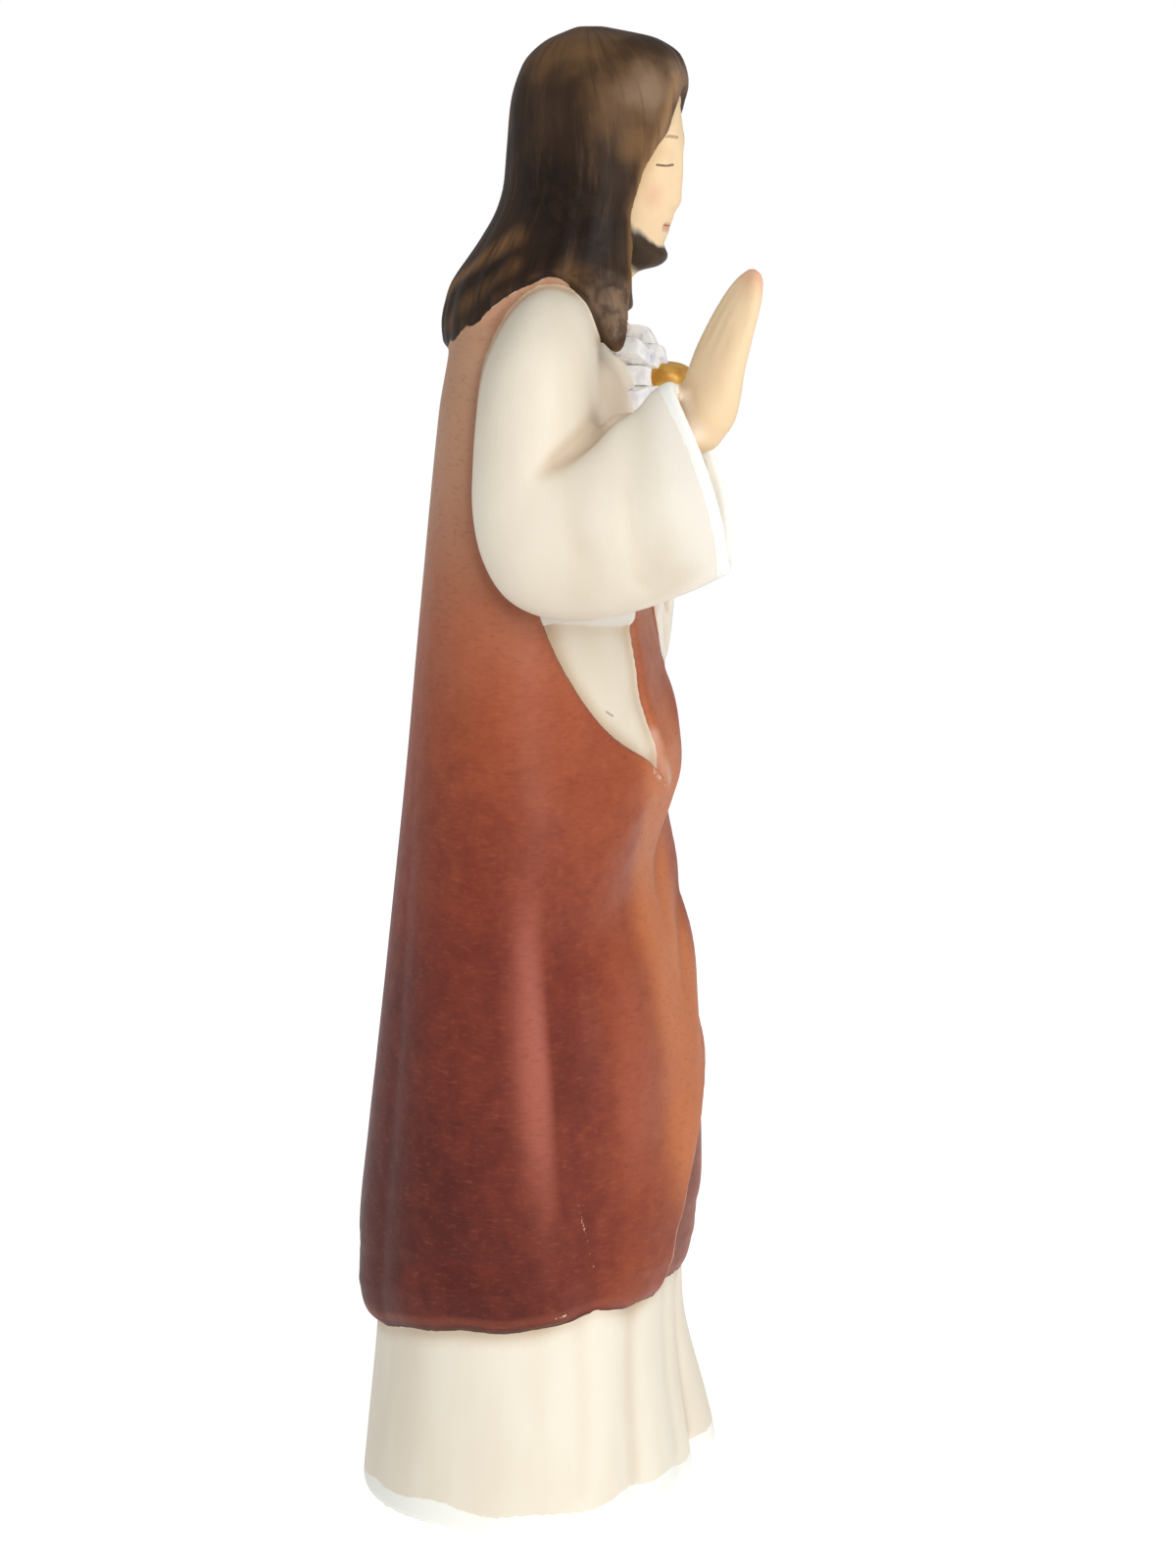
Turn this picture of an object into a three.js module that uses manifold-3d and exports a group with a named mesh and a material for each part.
// A carved and painted figure: a robed man in a mantle, his right hand raised
// in blessing, his left hand at a heart on a burst of rays on his chest.
// One block of wood, standing on the flat underside of its robe.
// Millimetres, +Z up. The figure faces -Y, so his right side is at -X.
import * as THREE from "three";
import { mergeVertices } from "three/addons/utils/BufferGeometryUtils.js";
import Module from "manifold-3d";

const wasm = await Module();
wasm.setup();

// Driving sizes, in millimetres
const HEIGHT = 200;
const MANTLE_THICKNESS = 2.1;
const LAP_HEIGHT = 1.5;
const BELT_HEIGHT = 3.8;
const BELT_THICKNESS = 1;
const SLEEVE_WALL = 1.3;
const SLEEVE_RECESS = 7;
const HEART_WIDTH = 8;
const HEART_THICKNESS = 5.6;
const BURST_DIAMETER = 20;
const BURST_THICKNESS = 3.2;
const RAY_COUNT = 14;

// The pose and the proportions are shares of the height. One unit is a 200th of it.
const UNIT = HEIGHT / 200;
const COLOURS = { wood: 0xb98f6a };

// Small mathematics

const vector = (x, y, z) => new THREE.Vector3(x, y, z);
const degrees = (angle) => (angle * Math.PI) / 180;
const mix = (from, to, share) => from + (to - from) * share;

function smoothstep(low, high, value) {
  const share = Math.min(1, Math.max(0, (value - low) / (high - low)));
  return share * share * (3 - 2 * share);
}

// A soft bump of height 1 that has faded out at twice its width.
function bump(offset, width) {
  return Math.exp(-((offset / width) ** 2));
}

// The difference of two angles in degrees, from -180 to 180.
function turn(from, to) {
  return ((((to - from) % 360) + 540) % 360) - 180;
}

// A smooth function through [place, value] knots that never overshoots them.
function through(...knots) {
  const slopes = knots.slice(1).map(([x, y], i) => (y - knots[i][1]) / (x - knots[i][0]));
  const tangents = knots.map((_, i) => {
    const before = slopes[i - 1];
    const after = slopes[i];
    if (before === undefined) return after;
    if (after === undefined) return before;
    return before * after <= 0 ? 0 : (2 * before * after) / (before + after);
  });
  return (x) => {
    const last = knots.length - 1;
    if (x <= knots[0][0]) return knots[0][1];
    if (x >= knots[last][0]) return knots[last][1];
    const i = knots.findIndex(([place]) => place > x) - 1;
    const span = knots[i + 1][0] - knots[i][0];
    const t = (x - knots[i][0]) / span;
    return (
      (2 * t ** 3 - 3 * t ** 2 + 1) * knots[i][1] +
      (t ** 3 - 2 * t ** 2 + t) * span * tangents[i] +
      (3 * t ** 2 - 2 * t ** 3) * knots[i + 1][1] +
      (t ** 3 - t ** 2) * span * tangents[i + 1]
    );
  };
}

// Skinned solids

// Joins rings of points, each with as many points, into one closed geometry with fan ends.
function loft(rings) {
  const columns = rings[0].length;
  const positions = rings.flat().map((point) => point.clone().multiplyScalar(UNIT));
  const faces = [];
  for (let row = 0; row + 1 < rings.length; row += 1) {
    for (let column = 0; column < columns; column += 1) {
      const next = (column + 1) % columns;
      const [a, b] = [row * columns + column, row * columns + next];
      const [c, d] = [a + columns, b + columns];
      const across = positions[a].distanceTo(positions[d]);
      const shortFirst = across < positions[b].distanceTo(positions[c]);
      faces.push(...(shortFirst ? [a, b, d, a, d, c] : [a, b, c, b, d, c]));
    }
  }
  for (const row of [0, rings.length - 1]) {
    const middle = new THREE.Vector3();
    for (let column = 0; column < columns; column += 1) {
      middle.addScaledVector(positions[row * columns + column], 1 / columns);
    }
    positions.push(middle);
    for (let column = 0; column < columns; column += 1) {
      const [a, b] = [row * columns + column, row * columns + ((column + 1) % columns)];
      const last = positions.length - 1;
      faces.push(...(row === 0 ? [last, b, a] : [last, a, b]));
    }
  }
  const geometry = new THREE.BufferGeometry().setFromPoints(positions);
  geometry.setIndex(faces);
  return facingOut(geometry);
}

// Turns every face round if the geometry encloses a negative volume.
function facingOut(geometry) {
  const position = geometry.getAttribute("position");
  const index = geometry.getIndex().array;
  const corner = (i) => new THREE.Vector3().fromBufferAttribute(position, index[i]);
  let volume = 0;
  for (let i = 0; i < index.length; i += 3) {
    volume += corner(i).dot(corner(i + 1).cross(corner(i + 2)));
  }
  if (volume < 0) geometry.setIndex([...index].reverse());
  return geometry;
}

// A closed geometry as a manifold-3d solid.
function solid(geometry) {
  const bare = new THREE.BufferGeometry();
  bare.setAttribute("position", geometry.getAttribute("position"));
  if (geometry.getIndex()) bare.setIndex(geometry.getIndex());
  const merged = mergeVertices(bare, 1e-4);
  return new wasm.Manifold(
    new wasm.Mesh({
      numProp: 3,
      vertProperties: merged.getAttribute("position").array,
      triVerts: new Uint32Array(merged.getIndex().array),
    }),
  );
}

function joined(...solids) {
  return solids.reduce((all, one) => all.add(one));
}

// Fills the pockets that stay closed in between joined shapes.
function filled(made) {
  return joined(...made.decompose().filter((body) => body.volume() > 0));
}

// The radius of an oval with its own depth in front and behind.
function ovalRadius(angle, halfWidth, front, back, power = 2.15) {
  const across = Math.abs(Math.cos(degrees(angle)));
  const along = Math.sin(degrees(angle));
  const depth = along < 0 ? front : back;
  return ((across / halfWidth) ** power + (Math.abs(along) / depth) ** power) ** (-1 / power);
}

// A level point at an angle and a radius round a middle.
function around(angle, radius, z, middleY = 0) {
  const turned = degrees(angle);
  return vector(radius * Math.cos(turned), middleY + radius * Math.sin(turned), z);
}

function levelRing(columns, z, middleY, radiusAt) {
  return Array.from({ length: columns }, (_, i) => {
    const angle = (360 * i) / columns;
    return around(angle, radiusAt(angle), z, middleY);
  });
}

// A ring through an outer and an inner point, bulging half a width to each side.
// Its outer end can be narrower, and a crease can press its near side in.
function rib(columns, { outer, inner, side, narrow = 0 }, press = () => 0) {
  const middle = vector(...outer).add(vector(...inner)).multiplyScalar(0.5);
  const across = vector(...inner).sub(middle);
  const out = vector(...side);
  return Array.from({ length: columns }, (_, i) => {
    const angle = degrees((360 * i) / columns);
    const bulge = Math.sin(angle) * (1 - narrow * smoothstep(0.1, -1, Math.cos(angle)));
    const point = middle.clone().addScaledVector(across, Math.cos(angle)).addScaledVector(out, bulge);
    return bulge > 0 ? point.addScaledVector(out, -press(point) / out.length()) : point;
  });
}

// The mantle

const mantleWidth = through(
  [0, 31.5], [22, 30.6], [35, 30.2], [60, 29], [85, 27.2], [110, 24.8],
  [130, 23.2], [148, 23.2], [157, 21], [163, 16], [168, 7],
);
const mantleFront = through(
  [0, 24], [22, 20.2], [30, 20.4], [42, 22], [58, 21.6], [75, 18.7], [87, 15.9],
  [97, 17.9], [106, 17.9], [115, 17.1], [130, 16.6], [148, 15.8], [157, 12.4], [168, 5],
);
const mantleBack = through(
  [0, 25.6], [22, 24.3], [33, 24.8], [50, 23.2], [75, 20], [100, 17.1],
  [125, 14.7], [150, 11.7], [160, 10.2], [168, 5],
);

// The free edge where the panel from the right hip laps over the front,
// from the hem up to the left forearm.
const lapAngle = through(
  [20, 246], [36, 249], [41, 253], [45, 259], [53, 276], [60, 292], [74, 306], [92, 314], [118, 318],
);

// The opening under the right arm: its edge behind and its edge in front.
const openingBehind = through(
  [98.5, 274], [100.5, 257], [103, 238], [107, 222], [113, 207],
  [120, 195], [127, 188], [140, 186], [152, 182], [160, 168], [169, 135],
);
const openingFront = through(
  [98.5, 276], [100.5, 268], [106, 259.5], [112, 256], [119, 255], [123, 262],
  [132, 272], [142, 283], [152, 294], [160, 305], [169, 330],
);

// How far the mantle's hem stands above the ground, from the back round by the right side.
const hemHeight = through(
  [0, 22.8], [15, 23.2], [60, 25.8], [92, 27.8], [125, 29.6], [160, 29.7],
  [195, 28.9], [240, 27.6], [300, 24.6], [360, 22.8],
);
const hemAt = (angle) => hemHeight((angle + 270) % 360);

// The depth that the folds add to the mantle at an angle and a height.
function mantleFolds(angle, z) {
  const low = smoothstep(104, 60, z);
  const valleyPlace = mix(208, 196, smoothstep(36, 92, z));
  const valley = -1.5 * bump(turn(valleyPlace, angle), 7.5) * low;
  const ridge = 0.7 * bump(turn(valleyPlace - 14, angle), 8) * low;
  const hip = 0.6 * bump(turn(228, angle), 10) * bump(z - 52, 26);
  let rest = 0;
  for (const [place, depth] of [[326, 1.4], [344, 1], [4, 1.3], [26, 0.9]]) {
    rest -= depth * bump(turn(place, angle), 6.5) * smoothstep(118, 70, z);
  }
  for (const place of [58, 118, 148]) {
    rest -= 0.5 * bump(turn(place, angle), 9) * smoothstep(120, 40, z);
  }
  for (const step of [0, 1, 2]) {
    const place = mix(95 - 14 * step, 62 - 12 * step, smoothstep(310, 225, angle));
    rest -= 0.8 * bump(z - place, 3.6) * smoothstep(214, 246, angle) * smoothstep(316, 292, angle);
  }
  return valley + ridge + hip + rest;
}

// How far the lapping panel stands off the cloth under it.
function lapLift(angle, z) {
  const before = lapAngle(z) - angle;
  const rise = before < 0 ? 0 : (LAP_HEIGHT / UNIT) * smoothstep(40, 0, before);
  const under = before > 0 ? 0 : 0.5 * smoothstep(-36, 0, before);
  return (rise - under) * smoothstep(22, 36, z) * smoothstep(112, 92, z);
}

// The fold across the hips climbs from the right hip to the left forearm.
function mantleRadius(angle, z) {
  const climb = 9 * smoothstep(286, 332, angle) * smoothstep(360, 340, angle);
  const drop = 8 * smoothstep(256, 205, angle) * smoothstep(180, 200, angle);
  const level = z - (climb - drop) * smoothstep(58, 84, z) * smoothstep(130, 106, z);
  const plain = ovalRadius(angle, mantleWidth(z), mantleFront(level), mantleBack(z));
  return plain + mantleFolds(angle, z) + lapLift(angle, z);
}

// The angles of the columns at a height: two of them run down the two sides of the free edge.
function mantleAngles(z) {
  const edge = lapAngle(z);
  const even = (count, from, to) =>
    Array.from({ length: count }, (_, i) => mix(from, to, i / count));
  return [...even(25, 0, 180), ...even(14, 180, edge - 0.1), edge - 0.1, ...even(14, edge + 1.6, 360)];
}

function mantle() {
  const thick = MANTLE_THICKNESS / UNIT;
  const top = 168;
  // The rolled hem: how far up and how far in each of its rows lies.
  const roll = [[0, thick], [0.15 * thick, 0.5 * thick], [0.7 * thick, 0.12 * thick], [1.6 * thick, 0]];
  const heights = [0.04, 0.1, 0.16, 0.22, 0.28, 0.33, 0.37, 0.405, 0.44, 0.475, 0.51, 0.57];
  heights.push(0.66, 0.75, 0.84, 0.9, 0.95, 1);
  const ring = (heightAt, inset) => {
    const guess = heightAt(200);
    return mantleAngles(guess).map((angle) => {
      const z = heightAt(angle);
      return around(angle, mantleRadius(angle, z) - inset, z);
    });
  };
  const rings = [
    ...roll.map(([up, inset]) => ring((angle) => hemAt(angle) + up, inset)),
    ...heights.map((share) => ring((angle) => mix(hemAt(angle) + roll[3][0], top, share), 0)),
  ];
  return solid(loft(rings)).subtract(mantleOpening());
}

// The space that the opening takes out of the mantle, as slices one above another.
function mantleOpening() {
  const reaches = [0, 13, 16, 19, 22, 25, 45];
  const steps = 8;
  const levels = [98.5, 99.2, 100, 101.2, 102.6, 104.4, 107, 110, 113, 116.5, 120, 123];
  levels.push(125, 127.5, 132, 138, 145, 151, 155, 160, 165, 169);
  return solid(
    loft(
      levels.map((z) => {
        const [low, high] = [openingBehind(z), openingFront(z)];
        return [
          ...reaches.map((reach) => around(low, reach, z, 2)),
          ...Array.from({ length: steps }, (_, i) => around(mix(low, high, (i + 1) / (steps + 1)), 45, z, 2)),
          ...reaches.slice(1).reverse().map((reach) => around(high, reach, z, 2)),
        ];
      }),
    ),
  );
}

// The mantle over the left shoulder and upper arm, down to where the forearm comes out of it.
function mantleOverLeftArm() {
  return solid(
    loft(
      [
        { outer: [9, 5, 160], inner: [9, -7, 160], side: [0, 0, 5] },
        { outer: [14, 5.6, 160], inner: [14, -7.6, 159.6], side: [1.2, 0, 7.6] },
        { outer: [18.4, 6, 157.2], inner: [18.4, -7.6, 156.8], side: [4, 0, 8.4] },
        { outer: [21.6, 6.2, 152.6], inner: [21.8, -8.4, 152], side: [7, 0, 6] },
        { outer: [23.2, 6.2, 145.6], inner: [23.6, -9.6, 145], side: [7.6, 0, 2.4] },
        { outer: [24, 6, 138], inner: [24.4, -10.8, 138], side: [7.8, 0, 0.6] },
        { outer: [24.4, 5.6, 129], inner: [24.6, -11.6, 129], side: [7.6, 0, 0] },
        { outer: [24, 5, 119], inner: [24.2, -11.4, 119], side: [7, 0, 0] },
        { outer: [22.6, 4.6, 104], inner: [22.8, -10.4, 104], side: [7, 0, 0] },
        { outer: [21, 4.4, 84], inner: [21.2, -9.4, 84], side: [8, 0, 0] },
        { outer: [18, 4, 58], inner: [18, -8, 58], side: [10.4, 0, 0] },
      ].map((each) => rib(20, each)),
    ),
  );
}

// The robe

// The skirt below the mantle, as its width, front and back.
const skirtWidth = through([0, 31], [8, 30], [22, 28.2], [34, 27.6]);
const skirtFront = through([0, 22], [8, 20.8], [22, 19.3], [34, 19]);
const skirtBack = through([0, 24], [8, 23.2], [22, 21.9], [34, 21.2]);

// The folds of the skirt, open in front and quiet behind: place, depth and width.
const SKIRT_VALLEYS = [
  [207, 1.1, 6], [229, 1.2, 7], [251, 1.5, 7], [271, 1.1, 6], [289, 1.6, 6], [322, 1.4, 8],
  [352, 0.9, 8],
];

function skirtFolds(angle, z) {
  let valleys = 0;
  for (const [place, depth, width] of SKIRT_VALLEYS) {
    valleys -= depth * bump(turn(place, angle), width);
  }
  const flare = 2.4 * bump(turn(303, angle), 11) * smoothstep(24, 1, z);
  return valleys * mix(0.35, 1, smoothstep(46, 4, z)) + flare;
}

// Under the mantle the robe lies one thickness inside it.
function robeRadius(angle, z) {
  const thick = MANTLE_THICKNESS / UNIT;
  const skirt = ovalRadius(angle, skirtWidth(z), skirtFront(z), skirtBack(z)) + skirtFolds(angle, z);
  const body = ovalRadius(angle, mantleWidth(z) - thick, mantleFront(z) - thick, mantleBack(z) - thick);
  return mix(skirt, body, smoothstep(34, 60, z));
}

function robe() {
  const levels = [0, 1, 6, 12, 18, 25, 34, 60, 92, 100, 107, 114, 120, 125, 131, 138, 145, 151, 156];
  levels.push(159.5, 162.5, 164.5, 165.4);
  return solid(loft(levels.map((z) => levelRing(54, z, 0, (angle) => robeRadius(angle, z)))));
}

// The belt round the waist.
function belt() {
  const middle = 123.4;
  const half = BELT_HEIGHT / UNIT / 2;
  const proud = BELT_THICKNESS / UNIT;
  const profile = [[-half, -1], [-half, proud * 0.6], [-half * 0.5, proud]];
  profile.push([half * 0.5, proud], [half, proud * 0.6], [half, -1]);
  const ring = ([lift, out]) =>
    levelRing(36, middle + lift, 0, (angle) => robeRadius(angle, middle + lift) + out);
  return solid(loft(profile.map(ring)));
}

// Arms and sleeves

// The right sleeve from the shoulder, round the elbow, to the mouth.
const RIGHT_SLEEVE = [
  { outer: [-9, 1, 160], inner: [-9, -11, 160], side: [0, 0, 5.2] },
  { outer: [-14, 1.6, 160], inner: [-14, -13, 159.5], side: [-1.2, 0, 8] },
  { outer: [-18.2, 1.6, 158], inner: [-18.2, -14.4, 157.5], side: [-3.6, 0, 8.8] },
  { outer: [-21.4, 1.4, 154.5], inner: [-21.4, -15.2, 154.6], side: [-6.6, 0, 6.6] },
  { outer: [-23.2, 1.3, 150], inner: [-23.2, -15.6, 152.2], side: [-7.8, 0, 3.4] },
  { outer: [-24.2, 1.2, 144.5], inner: [-24.4, -15.9, 150.6], side: [-7.6, 0, 1] },
  { outer: [-24.6, 0.7, 138.5], inner: [-24.8, -16.2, 149.6], side: [-7.5, 0, 0] },
  { outer: [-24.8, -0.9, 132.5], inner: [-25, -16.8, 149.2], side: [-7.4, 0, 0] },
  { outer: [-25, -4, 127.8], inner: [-25.2, -17.4, 149.3], side: [-7.4, 0, 0] },
  { outer: [-25.4, -8.8, 125.3], inner: [-25.4, -18.2, 149.6], side: [-7.4, 0, 0], narrow: 0.1 },
  { outer: [-26, -14.5, 124.7], inner: [-25.8, -19, 150.2], side: [-7.4, 0, 0], narrow: 0.2 },
  { outer: [-27, -21, 125.8], inner: [-26.2, -20.4, 151.2], side: [-7.2, 0, 0], narrow: 0.3 },
  { outer: [-28.2, -27.6, 128.4], inner: [-27, -22.6, 152.8], side: [-7, 0, 0], narrow: 0.4 },
  { outer: [-29.6, -33.6, 131.4], inner: [-27.8, -25, 154.3], side: [-6.7, 0, 0], narrow: 0.42 },
];

// The left sleeve, from the elbow across the chest, hanging down from the wrist.
const LEFT_SLEEVE = [
  { outer: [26, 1, 127], inner: [25.5, 1, 139], side: [5.4, 0, 0] },
  { outer: [25, -4.5, 121.5], inner: [24, -4.2, 138.6], side: [5.4, -2.2, 0] },
  { outer: [22.6, -9, 117], inner: [20.6, -9.6, 139.6], side: [4.4, -3.4, 0], narrow: 0.1 },
  { outer: [19.4, -12, 114.4], inner: [16.6, -13.6, 141.4], side: [3.4, -3.5, 0], narrow: 0.2 },
  { outer: [16.8, -13.4, 113], inner: [13, -16.6, 143.4], side: [2.8, -3.1, 0], narrow: 0.3 },
  { outer: [15, -13.9, 113.2], inner: [10.6, -18.2, 145], side: [2.4, -2.9, 0], narrow: 0.4 },
];

// The crease in the crook of the right arm, from its deep front end to where it runs out.
function crookCrease(point) {
  const from = vector(-26, -19.5, 150.8);
  const to = vector(-26, -7.8, 141.7);
  const along = point.clone().sub(from);
  along.x = 0;
  const line = to.clone().sub(from);
  const share = Math.min(1, Math.max(0, along.dot(line) / line.lengthSq()));
  const offset = along.addScaledVector(line, -share).length();
  return 2 * (1 - share) ** 0.8 * bump(offset, 2.2);
}

// A sleeve with a hollow in its mouth, one wall thick at the rim.
function sleeve(columns, stations, press) {
  const wall = SLEEVE_WALL / UNIT;
  const mouth = stations[stations.length - 1];
  const before = stations[stations.length - 2];
  const shrunk = (by) => {
    const middle = vector(...mouth.outer).add(vector(...mouth.inner)).multiplyScalar(0.5);
    const reach = vector(...mouth.inner).sub(middle);
    reach.setLength(reach.length() - by);
    const side = vector(...mouth.side);
    side.setLength(side.length() - by);
    return { middle, reach, side };
  };
  const { middle, reach, side } = shrunk(wall);
  const beforeMiddle = vector(...before.outer).add(vector(...before.inner)).multiplyScalar(0.5);
  const run = middle.clone().sub(beforeMiddle).normalize();
  const slice = (depth, size) => {
    const at = middle.clone().addScaledVector(run, -depth);
    return rib(columns, {
      outer: at.clone().addScaledVector(reach, -size).toArray(),
      inner: at.clone().addScaledVector(reach, size).toArray(),
      side: side.clone().multiplyScalar(size).toArray(),
      narrow: mouth.narrow,
    });
  };
  const deep = SLEEVE_RECESS / UNIT;
  const hollow = solid(loft([slice(deep, 0.68), slice(deep * 0.5, 0.9), slice(0, 1), slice(-3, 1)]));
  return solid(loft(stations.map((each) => rib(columns, each, press)))).subtract(hollow);
}

// The right forearm, from inside the sleeve to the wrist.
function rightForearm() {
  return solid(
    loft(
      [
        { outer: [-26.4, -17.6, 138], inner: [-26.4, -14, 143], side: [-3.4, 0, 0] },
        { outer: [-27, -25.4, 143.4], inner: [-27, -21.4, 148], side: [-3.2, 0, 0] },
        { outer: [-27.2, -29.6, 147.4], inner: [-27.2, -25.6, 149.4], side: [-2.8, 0, 0] },
      ].map((each) => rib(14, each)),
    ),
  );
}

// A hand, wrist at the origin, fingers up, palm towards -Y and thumb towards +X.
const HAND = [
  [-4, 0, 3, 2.6],
  [0, 0, 3.1, 2.6],
  [3.4, -0.3, 4.1, 2.75],
  [7, -0.2, 4.6, 2.4],
  [10.5, 0.1, 4.4, 2],
  [14, 0, 3.9, 1.75],
  [17.6, -0.3, 3.2, 1.5],
  [20.4, -0.6, 2.2, 1.15],
  [22, -0.8, 0.9, 0.6],
];
const THUMB = [
  [2.4, -0.8, 3.6, 1.9],
  [3.9, -2, 6.6, 1.85],
  [4.5, -2.6, 9.6, 1.6],
  [4.4, -2.7, 12.4, 1.3],
  [4.2, -2.6, 13.6, 0.6],
];

function hand(place) {
  const mitt = loft(
    HAND.map(([z, y, half, deep]) =>
      levelRing(16, z, y, (angle) => ovalRadius(angle, half, deep, deep, 2.4)),
    ),
  );
  const thumb = loft(
    THUMB.map(([x, y, z, radius]) =>
      levelRing(8, z, y, () => radius).map((point) => point.add(vector(x, 0, 0))),
    ),
  );
  return joined(...[mitt, thumb].map((geometry) => solid(facingOut(geometry.applyMatrix4(place)))));
}

// Where a hand goes: its wrist, the way its fingers point, the way its palm faces and its size.
function placed(wrist, fingers, palm, size, mirrored = false) {
  const up = vector(...fingers).normalize();
  const across = vector(...palm).negate().cross(up).normalize();
  const back = up.clone().cross(across).normalize();
  const basis = new THREE.Matrix4().makeBasis(across, back, up);
  basis.scale(vector(mirrored ? -size : size, size, size));
  return basis.setPosition(vector(...wrist).multiplyScalar(UNIT));
}

// The head

const hairWidth = through(
  [156, 20.5], [160, 20], [165, 18.6], [170, 15.4], [175, 13.4], [181, 12.6],
  [188, 12.4], [194, 10.4], [198, 6.6], [200, 1.6],
);
const hairFront = through(
  [156, 15.8], [160, 16.4], [165, 16.4], [170, 13.6], [176, 11.4], [182, 11.6],
  [187, 11.8], [192, 12.4], [195.4, 11.6], [198.2, 8.4], [200, 1.8],
);
const hairBack = through(
  [156, 16.8], [160, 16.6], [165, 15.8], [170, 14.2], [176, 12.4], [184, 11.8],
  [190, 11.3], [195, 9.4], [198, 6.2], [200, 1.6],
);
const hairMiddle = through([156, -4.4], [165, -4.4], [172, -6.4], [180, -8.1], [190, -8.2], [200, -7.2]);

// On the left the hair lies behind the shoulder instead of in front of it.
const hairLeftFront = through([158, 0.3], [166, 0.34], [173, 0.62], [180, 0.9], [187, 1]);

// The height of the hair's lower end, from behind to in front, on the right and on the left.
const hairFootRight = through(
  [0, 157.2], [25, 157.6], [50, 160], [72, 164.4], [88, 166.6], [102, 166.8],
  [118, 163], [131, 158.6], [138, 157.2], [147, 158.6], [156, 163], [180, 165],
);
const hairFootLeft = through([0, 157.2], [25, 157.4], [50, 158.6], [75, 161.6], [100, 163.4], [180, 166]);

function hairFoot(angle) {
  const side = turn(90, angle);
  return side > 0 ? hairFootRight(side) : hairFootLeft(-side);
}

function hairRadius(angle, z) {
  const left = bump(turn(315, angle), 52);
  const front = hairFront(z) * mix(1, hairLeftFront(z), left);
  return ovalRadius(angle, hairWidth(z), front, hairBack(z), 2.1);
}

function hair() {
  const rows = 11;
  const top = 200;
  const ring = (row) =>
    Array.from({ length: 36 }, (_, i) => {
      const angle = (360 * i) / 36;
      const foot = hairFoot(angle);
      const share = Math.max(0, row - 1) / (rows - 1);
      const z = foot + (top - foot) * Math.sin((share * Math.PI) / 2) ** 1.2;
      const inset = row === 0 ? 3.4 : 0;
      return around(angle, Math.max(0.8, hairRadius(angle, z) - inset), z, hairMiddle(z));
    });
  const rings = Array.from({ length: rows + 1 }, (_, row) => ring(row));
  return solid(loft(rings)).subtract(faceWindow());
}

// The space in front of the face, between the parted hair on both sides.
function faceWindow() {
  const half = [
    [0.8, 193.4], [3.6, 191.6], [5.8, 188.4], [7, 184], [7.4, 179], [7.5, 174], [8.6, 170],
    [11, 166], [12.6, 161], [13.6, 154],
  ];
  const points = [...half, ...half.map(([x, z]) => [-x, z]).reverse()].map(
    ([x, z]) => new THREE.Vector2(x, z).multiplyScalar(UNIT),
  );
  const depth = 26 * UNIT;
  const geometry = new THREE.ExtrudeGeometry(new THREE.Shape(points), {
    depth,
    bevelEnabled: false,
    steps: 1,
  });
  geometry.rotateX(Math.PI / 2);
  geometry.translate(0, -11 * UNIT, 0);
  return solid(geometry);
}

const faceWidth = through([166, 4.2], [170, 5.6], [174, 6.8], [179, 7.8], [185, 8.4], [191, 8], [195, 6]);
const faceFront = through(
  [166, 5.6], [169, 7.6], [173, 9.2], [178, 10.5], [184, 11.2], [190, 10.7], [195, 7.8],
);

function head() {
  const levels = [166, 168.4, 171, 173.6, 176.4, 179.4, 182.4, 185.4, 188.4, 191.4, 195];
  const skull = levels.map((z) =>
    levelRing(24, z, -8.4, (angle) => ovalRadius(angle, faceWidth(z), faceFront(z), 6, 2)),
  );
  const neck = [158, 162, 166, 171].map((z) => levelRing(18, z, -5.6 - (z - 158) * 0.1, () => 5.4));
  return solid(loft(skull)).add(solid(loft(neck)));
}

function beard() {
  const width = through([167, 1], [167.6, 3.2], [169.4, 5.4], [172.6, 7], [176.4, 7.6]);
  const front = through([167, 3], [167.6, 6.4], [169.2, 8.8], [171.6, 9.5], [174, 8.7], [176.4, 5]);
  const levels = [167, 167.6, 169.2, 170.9, 172.6, 174.3, 176.4];
  return solid(
    loft(
      levels.map((z) =>
        levelRing(20, z, -8.2, (angle) => ovalRadius(angle, width(z), front(z), 3, 2)),
      ),
    ),
  );
}

// The heart on its burst of rays, which bends round the chest.

const HEART_PLACE = [0, -14, 151.4];

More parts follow.
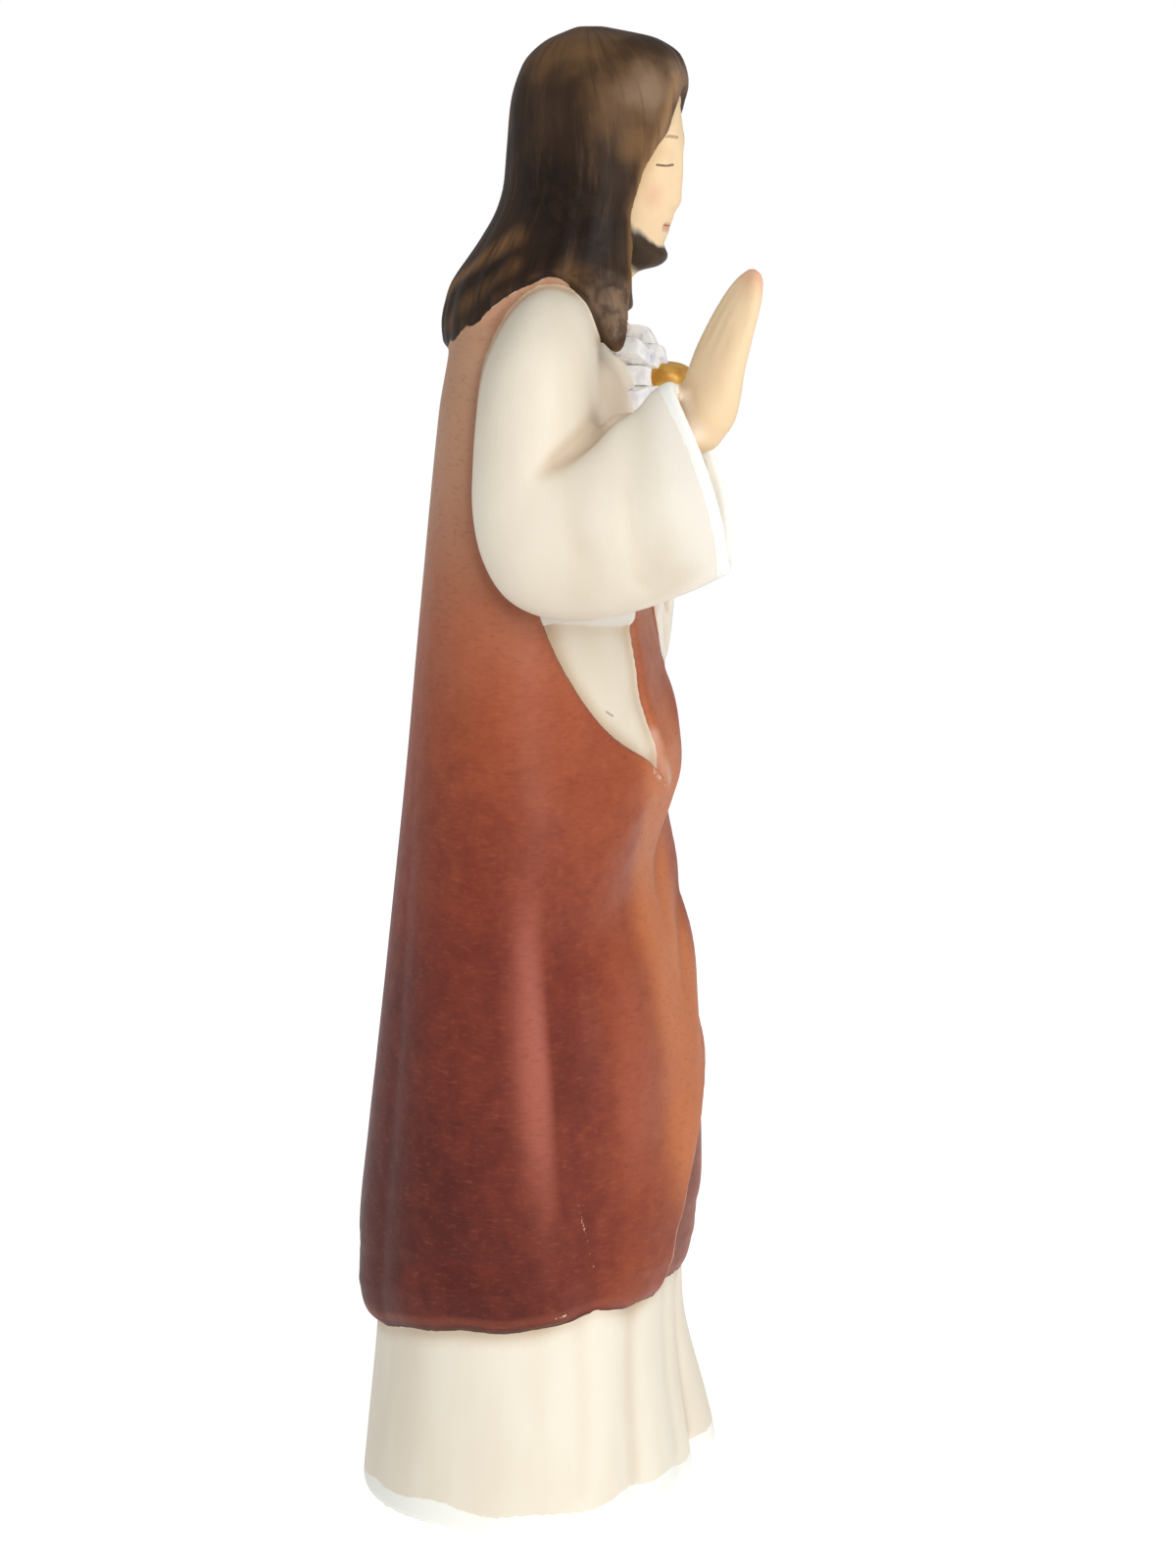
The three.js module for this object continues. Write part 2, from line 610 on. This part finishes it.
function burst() {
  const reach = BURST_DIAMETER / UNIT / 2;
  const thick = BURST_THICKNESS / UNIT;
  const [middleX, middleY, middleZ] = HEART_PLACE;
  const half = (180 / RAY_COUNT) * 0.94;
  const ray = (_, i) => {
    const place = (360 * (i + 0.5)) / RAY_COUNT;
    const length = reach * (i % 2 ? 0.82 : 1);
    const slice = (radius, share, proud) => {
      const corner = (side, depth) => {
        const turned = degrees(place + side * half * share);
        const x = radius * Math.cos(turned);
        const y = middleY + depth + 2 * (x / 10) ** 2;
        return vector(middleX + x, y, middleZ + radius * Math.sin(turned));
      };
      const front = -thick * proud;
      return [corner(-1, front), corner(1, front), corner(1, 5), corner(-1, 5)];
    };
    const slices = [slice(1, 1, 1.25), slice(length * 0.55, 1, 1), slice(length * 0.6, 1, 0.75)];
    slices.push(slice(length, 0.78, 0.3));
    return solid(loft(slices));
  };
  return joined(...Array.from({ length: RAY_COUNT }, ray));
}

// A heart with two lobes and a point, bulging to the front.
function heart() {
  const half = HEART_WIDTH / UNIT / 2;
  const thick = HEART_THICKNESS / UNIT;
  const [middleX, middleY, middleZ] = HEART_PLACE;
  const layer = (size, depth) =>
    Array.from({ length: 22 }, (_, i) => {
      const t = (2 * Math.PI * (i + 0.5)) / 22;
      const x = half * Math.sin(t) ** 3;
      const rise = 13 * Math.cos(t) - 5 * Math.cos(2 * t) - 2 * Math.cos(3 * t) - Math.cos(4 * t);
      const y = middleY - BURST_THICKNESS / UNIT - depth;
      return vector(middleX + x * size, y, middleZ + (half / 16) * rise * size + 0.8);
    });
  const layers = [layer(0.9, -2), layer(1, thick * 0.15), layer(0.92, thick * 0.5)];
  layers.push(layer(0.68, thick * 0.82), layer(0.3, thick));
  return solid(loft(layers));
}

// The whole figure

function figure() {
  const whole = joined(
    robe(),
    mantle(),
    mantleOverLeftArm(),
    belt(),
    sleeve(20, RIGHT_SLEEVE, crookCrease),
    sleeve(16, LEFT_SLEEVE),
    rightForearm(),
    hand(placed([-27.1, -28, 148], [0, -0.34, 1], [0.78, -0.62, -0.2], 1.03)),
    hand(placed([13.4, -17, 139.2], [-0.7, -0.22, 0.68], [0.1, 1, 0.2], 0.74, true)),
    head(),
    hair(),
    beard(),
    burst(),
    heart(),
  );
  return filled(whole);
}

function mesh(name, made, colour) {
  const { vertProperties, triVerts } = made.getMesh();
  const geometry = new THREE.BufferGeometry();
  geometry.setAttribute("position", new THREE.BufferAttribute(vertProperties, 3));
  geometry.setIndex(new THREE.BufferAttribute(triVerts, 1));
  geometry.computeVertexNormals();
  const material = new THREE.MeshStandardMaterial({ color: colour, roughness: 0.55, metalness: 0 });
  const result = new THREE.Mesh(geometry, material);
  result.name = name;
  return result;
}

const statue = new THREE.Group();
statue.add(mesh("figure", figure(), COLOURS.wood));

export default statue;
